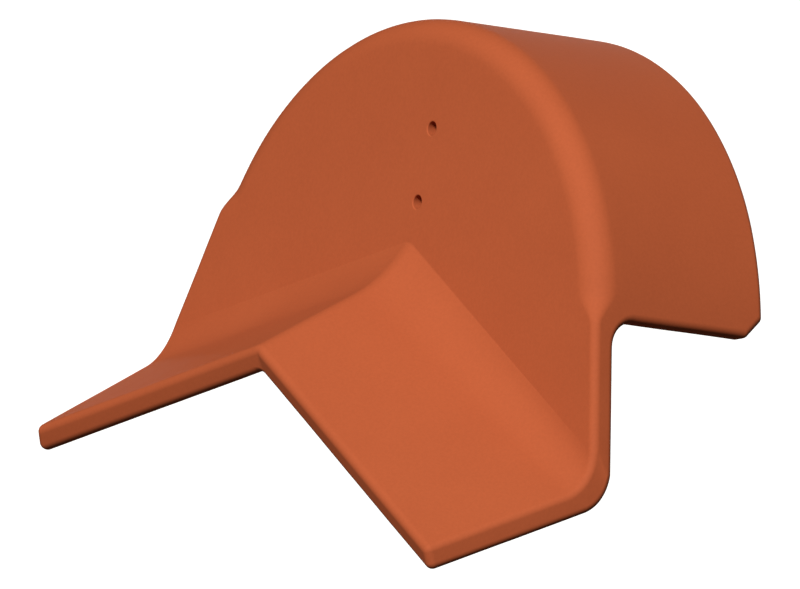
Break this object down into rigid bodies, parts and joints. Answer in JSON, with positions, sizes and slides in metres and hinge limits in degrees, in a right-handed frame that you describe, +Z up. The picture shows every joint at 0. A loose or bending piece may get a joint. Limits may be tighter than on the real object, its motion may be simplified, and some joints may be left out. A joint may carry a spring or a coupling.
{
  "type": "ridge end cap",
  "caption": "Half-round ridge end cap of fired clay with a flat closing face, screw holes and two wings sloping forward and down from a crest.",
  "frame": {"origin": "on the back of the closing face, midway between the two screw holes", "axes": "+Y out of the face's back, towards the barrel's open end; +Z up; +X across the cap, to the right seen from the back and from the left wing's tip to the right one's"},
  "size_m": [0.288, 0.1482, 0.2027],
  "materials": {
    "fired_clay": "matte, smooth fired clay"
  },
  "bodies": {
    "root": {"ridge_end_cap": "fired_clay"}
  },
  "joints": []
}
